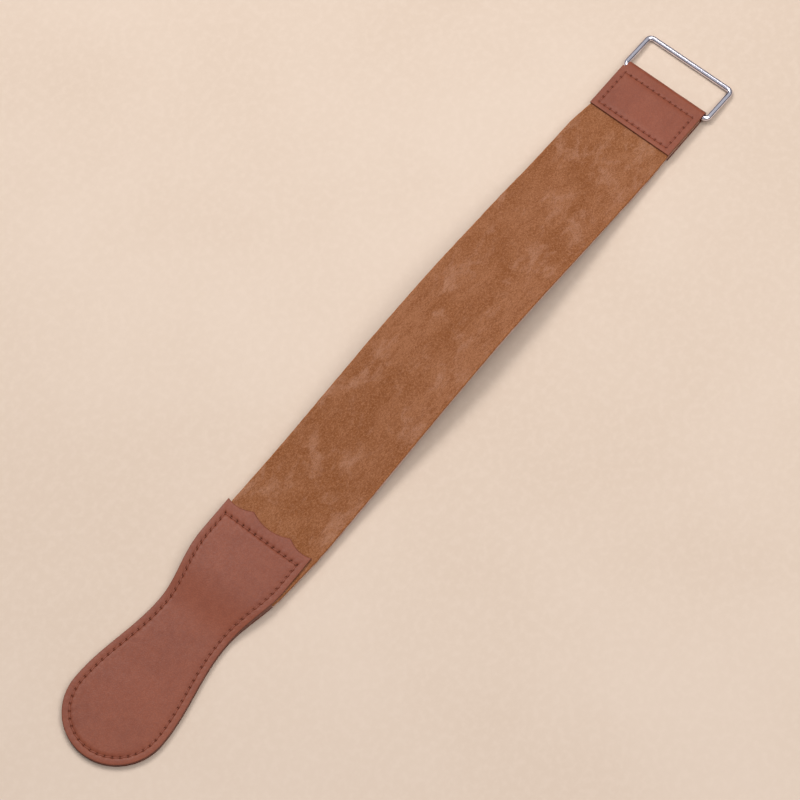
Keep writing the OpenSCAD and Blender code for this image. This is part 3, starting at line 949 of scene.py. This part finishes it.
def tab_holes(up):
    """The tab's needle holes, on the floor of the seam's groove."""
    seam = TAB_HALF - SEAM_INSET
    near, far = TAB_LOW.x + TAB_EDGE_SEAM, TAB_HIGH.x - TAB_FOLD_SEAM
    corners = [(near, -seam, TAB_SIDE_STITCHES), (far, -seam, TAB_ROW_STITCHES),
               (far, seam, TAB_SIDE_STITCHES), (near, seam, TAB_ROW_STITCHES)]
    points = []
    for k, (x, y, count) in enumerate(corners):
        to_x, to_y = corners[(k + 1) % 4][:2]
        t = np.arange(count) / count
        points.append(np.stack([lerp(x, to_x, t), lerp(y, to_y, t)], 1))
    xy = np.concatenate(points)
    z = STACK_TOP - TAB_GROOVE_DEPTH if up > 0 else TAB_GROOVE_DEPTH
    return np.column_stack([xy[:, 0], xy[:, 1] + TAB_MID_Y, np.full(len(xy), z)])


# -------------------------------- strops

def strop_edge(x, side):
    """Distance of a strop's left (1) or right (-1) edge from its middle. Inside the grip it stops just past
    the grip's outline, its corners are cut and its right edge tapers. It is trimmed to lie inside the tab."""
    local = x - FRONT_X
    half = np.where(local < 0, np.minimum(STRAP_HALF, grip_half(local) + STRAP_MARGIN), STRAP_HALF)
    half = half - STRAP_CORNER * np.clip(1 - (local + STRAP_IN) / STRAP_CORNER, 0, 1)
    if side < 0:
        half = half - STRAP_TAPER * np.clip(-local / STRAP_IN, 0, 1)
    in_tab = TAB_HALF - STRAP_MARGIN + side * (TAB_MID_Y - STRAP_MID_Y)
    return lerp(half, in_tab, np.clip((x - TAB_LOW.x) / STRAP_TRIM_LEN + 1, 0, 1))


def strop(name, low, high, material, face_up, seed):
    """One strop: a strip with rounded edges that are a little uneven, as cut leather's are. low and high are
    the heights of its faces where it lies flat. The face that shows, its upper one if face_up, has the
    rounder edges."""
    length = STRAP_OUTER_END - STRAP_INNER_END
    first, last = 1.2 * MM, length - 1 * MM
    xs = STRAP_INNER_END + edge_lines(length, STRAP_END_R, np.arange(first, last, STRAP_STEP))
    # v runs from -1 at the right edge to 1 at the left one
    middle = np.linspace(STRAP_GAP_V, 2 - STRAP_GAP_V, STRAP_LINES_ACROSS)
    vs = edge_lines(2, STRAP_SIDE_V, middle) - 1
    sides = [strop_edge(xs, side)[:, None] for side in (1, -1)]
    x, v = np.meshgrid(xs, vs, indexing="ij")
    half = np.where(v > 0, sides[0], sides[1])
    side = np.sign(v)
    cut = RAGGED * waviness(x, side, RAGGED_SIZE, seed) + WANDER * waviness(x, side, WANDER_SIZE, seed + 5)
    y = v * half + cut * np.square(v)
    from_side = (1 - np.abs(v)) * half
    free = (x > FRONT_X + STRAP_FLAT_BY_GRIP) & (x < TAB_LOW.x - STRAP_FLAT_BY_TAB)
    fade = free * ease((x - FRONT_X) / STRAP_WAVE_RAMP) * ease((TAB_LOW.x - x) / STRAP_WAVE_RAMP)
    uneven = fade * (STRAP_WAVE * waviness(x, y, STRAP_WAVE_SIZE, seed + 9))
    lift = arch(x) + uneven
    drop = rounding(from_side, STRAP_EDGE_R)
    less = drop * STRAP_INNER_ROUNDING
    top_drop, bottom_drop = (drop, less) if face_up else (less, drop)
    y = y + STRAP_MID_Y
    top = np.stack([x, y, high + lift - top_drop], -1)
    bottom = np.stack([x, y, low + lift + bottom_drop], -1)
    edge = np.clip(STRAP_EDGE_GAIN - from_side / STRAP_EDGE_SHADE, 0, 1).ravel()
    return slab(name, top, bottom, material, {"edge": np.concatenate([edge, edge])})


# -------------------------------- ring

def ring(name, material):
    """The wire, swept round its rectangle with a bend at each corner. It is turned down about its hinge until
    it touches the surface."""
    half_w = (RING_HIGH.y - RING_LOW.y) / 2 - WIRE_R
    far_x = RING_HIGH.x - WIRE_R - HINGE.x
    droop = math.atan2(HINGE.z - WIRE_R, far_x)
    length = math.hypot(far_x, HINGE.z - WIRE_R)
    near, far, out = RING_BEND_R, length - RING_BEND_R, half_w - RING_BEND_R
    # Each bend's centre, and the angle in degrees at which it starts
    centres = [(far, out, 0), (near, out, 90), (near, -out, 180), (far, -out, 270)]
    path = []
    for x, y, start in centres:
        for a in np.radians(start + np.linspace(0, 90, RING_BEND_POINTS)):
            path.append((x + RING_BEND_R * math.cos(a), y + RING_BEND_R * math.sin(a)))
    path = np.array(path)
    fine = []
    for a, b in zip(path, np.roll(path, -1, axis=0)):
        pieces = max(1, int(np.hypot(*(b - a)) / RING_STEP))
        fine += [lerp(a, b, k / pieces) for k in range(pieces)]
    path = np.array(fine)
    tangent = np.roll(path, -1, axis=0) - np.roll(path, 1, axis=0)
    tangent /= np.linalg.norm(tangent, axis=1)[:, None]
    outward = np.column_stack([tangent[:, 1], -tangent[:, 0]])
    angle = np.arange(WIRE_SIDES) * 2 * np.pi / WIRE_SIDES
    flat = path[:, None] + WIRE_R * np.cos(angle)[None, :, None] * outward[:, None]
    z = np.broadcast_to(WIRE_R * np.sin(angle), flat.shape[:2])
    c, s = math.cos(droop), math.sin(droop)
    verts = np.stack([HINGE.x + c * flat[..., 0] + s * z,
                      HINGE.y + flat[..., 1],
                      HINGE.z - s * flat[..., 0] + c * z], -1)
    faces = grid_faces(len(path), WIRE_SIDES, closed=True)
    last = (len(path) - 1) * WIRE_SIDES
    for k in range(WIRE_SIDES):
        after = (k + 1) % WIRE_SIDES
        faces.append([last + k, last + after, after, k])
    return make_object(name, verts.reshape(-1, 3), faces, material)


# -------------------------------- studio

CAMERA_AZIMUTH = math.radians(-51.08)
CAMERA_ELEVATION = math.radians(66.58)
CAMERA_DISTANCE = 1.268
CAMERA_LENS = 119.25
CAMERA_SENSOR = 36
AIM = Vector((FRONT_X + 90.54 * MM, STRAP_MID_Y - 2.8 * MM, 0))
CAMERA_AHEAD = Vector((-math.sin(CAMERA_AZIMUTH), math.cos(CAMERA_AZIMUTH), 0))
CAMERA_RIGHT = Vector((math.cos(CAMERA_AZIMUTH), math.sin(CAMERA_AZIMUTH), 0))

FLOOR_HALF = 3.0
WORLD_STRENGTH = 0.56
# The sky's colour at two heights, where 0 is the horizon and 1 is straight up
SKY = [(0.25, (0.05, 0.05, 0.06, 1)), (0.6, (0.93, 0.95, 1.0, 1))]
# Name, place (right of, beyond and above the aim), width, height, watts
LIGHTS = [("key_light", (-0.35, 0.62, 1.15), 0.9, 0.5, 11),
          ("fill_light", (0.7, -0.4, 1.3), 0.8, 0.8, 7),
          ("top_light", (0.4, 0.35, 1.1), 0.6, 0.35, 3)]


def floor_material():
    """Matt paper with faint clouds and fibres."""
    g = Graph("paper_floor")
    fibres = g.noise(260, detail=5, rough=0.6)
    clouds = g.noise(6, detail=3)
    base = g.mix(g.range(clouds, 0.3, 0.7), *PAPER_CLOUD)
    base = g.tint(base, fibres, 0.4, 0.7, 0.3, PAPER_FIBRE)
    g.set(Base_Color=base, Roughness=0.85, Normal=g.bump(fibres, 0.15, 0.1 * MM))
    return g.material


def studio():
    """A pale floor, a soft sky and three soft lights. As the camera sees them, the strongest is on the left
    beyond the object, the next is near on the right, and the smallest is on the right beyond it."""
    corners = [(FLOOR_HALF * x, FLOOR_HALF * y, 0) for x, y in ((-1, -1), (1, -1), (1, 1), (-1, 1))]
    floor = make_object("floor", corners, [[0, 1, 2, 3]], floor_material())
    world = bpy.data.worlds.new("studio")
    bpy.context.scene.world = world
    world.use_nodes = True
    tree = world.node_tree
    background = tree.nodes["Background"]
    background.inputs["Strength"].default_value = WORLD_STRENGTH
    split = tree.nodes.new("ShaderNodeSeparateXYZ")
    tree.links.new(tree.nodes.new("ShaderNodeTexCoord").outputs["Generated"], split.inputs[0])
    ramp = tree.nodes.new("ShaderNodeValToRGB")
    tree.links.new(split.outputs["Z"], ramp.inputs[0])
    tree.links.new(ramp.outputs[0], background.inputs["Color"])
    for element, (position, colour) in zip(ramp.color_ramp.elements, SKY):
        element.position = position
        element.color = colour
    for name, (across, away, up), width, height, power in LIGHTS:
        light = bpy.data.lights.new(name, "AREA")
        light.shape = "RECTANGLE"
        light.size, light.size_y = width, height
        light.energy = power
        lamp = bpy.data.objects.new(name, light)
        lamp.location = AIM + CAMERA_RIGHT * across + CAMERA_AHEAD * away + Vector((0, 0, up))
        lamp.rotation_euler = (AIM - lamp.location).to_track_quat("-Z", "Y").to_euler()
        bpy.context.scene.collection.objects.link(lamp)


def camera():
    data = bpy.data.cameras.new("camera")
    data.lens = CAMERA_LENS
    data.sensor_width = CAMERA_SENSOR
    cam = bpy.data.objects.new("camera", data)
    back = -CAMERA_AHEAD * math.cos(CAMERA_ELEVATION) + Vector((0, 0, math.sin(CAMERA_ELEVATION)))
    cam.location = AIM + back * CAMERA_DISTANCE
    cam.rotation_euler = (-back).to_track_quat("-Z", "Y").to_euler()
    bpy.context.scene.collection.objects.link(cam)
    bpy.context.scene.camera = cam


# -------------------------------- the object

def add(piece, body, slot, *nodes):
    """Puts a piece on its body in place of CAD nodes. slot is not used."""
    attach(piece, body)
    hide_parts(*nodes)


def front_underside(x, inset):
    """Height of the front cover's inner face. At the rim, behind the strops' cut ends, it reaches down to
    what lies below and closes the edge."""
    sheet = front_cover_height(x) - COVER_T
    below = np.where(x > CORE_FRONT, COVER_T, CORE_TOP)
    if inset > EDGE_R:
        return sheet
    return lerp(sheet, below, ease((STRAP_CORNER - STRAP_IN - x) / RIM_FILL_LEN))


def back_face(x):
    """Height of the back cover's outer face."""
    return np.zeros(np.shape(x))


def back_inside(x, inset):
    """Height of the back cover's inner face, the same at every inset."""
    return np.full(np.shape(x), COVER_T)


def build():
    """All pieces. The stiffener keeps its CAD shape, since only its edge shows, and gets a material."""
    leather = cover_leather()
    waxed = waxed_thread()
    add(strop("suede_strop_skin", STRAP_MID, STRAP_TOP, suede(), True, 11), "strop", "suede", "suede_strop")
    add(strop("smooth_strop_skin", STRAP_LOW, STRAP_MID, smooth_leather(), False, 17), "strop",
        "strop_leather", "smooth_strop")
    add(grip_cover("grip_front_leather", front_cover_height, front_underside, 1, leather, 2), "strop",
        "cover_leather", "grip_front_cover")
    add(grip_cover("grip_back_leather", back_face, back_inside, -1, leather, 5), "strop", "cover_leather",
        "grip_back_cover")
    add(thread("grip_front_stitches", grip_holes(front_cover_height, 1), 1, waxed), "strop", "thread",
        "grip_needle_thread")
    add(thread("grip_back_stitches", grip_holes(back_face, -1), -1, waxed), "strop", "thread",
        "grip_bobbin_thread")
    add(tab("tab_leather", leather), "strop", "cover_leather", "ring_tab")
    add(thread("tab_front_stitches", tab_holes(1), 1, waxed), "strop", "thread", "tab_needle_thread")
    add(thread("tab_back_stitches", tab_holes(-1), -1, waxed), "strop", "thread", "tab_bobbin_thread")
    add(ring("hanger_ring_wire", chrome()), "ring", "ring_metal", "hanger_ring")
    core = frame["nodes"]["grip_core"]
    core.data.materials.clear()
    core.data.materials.append(brown_board())


build()
camera()
studio()
bpy.context.scene.view_settings.view_transform = "Standard"
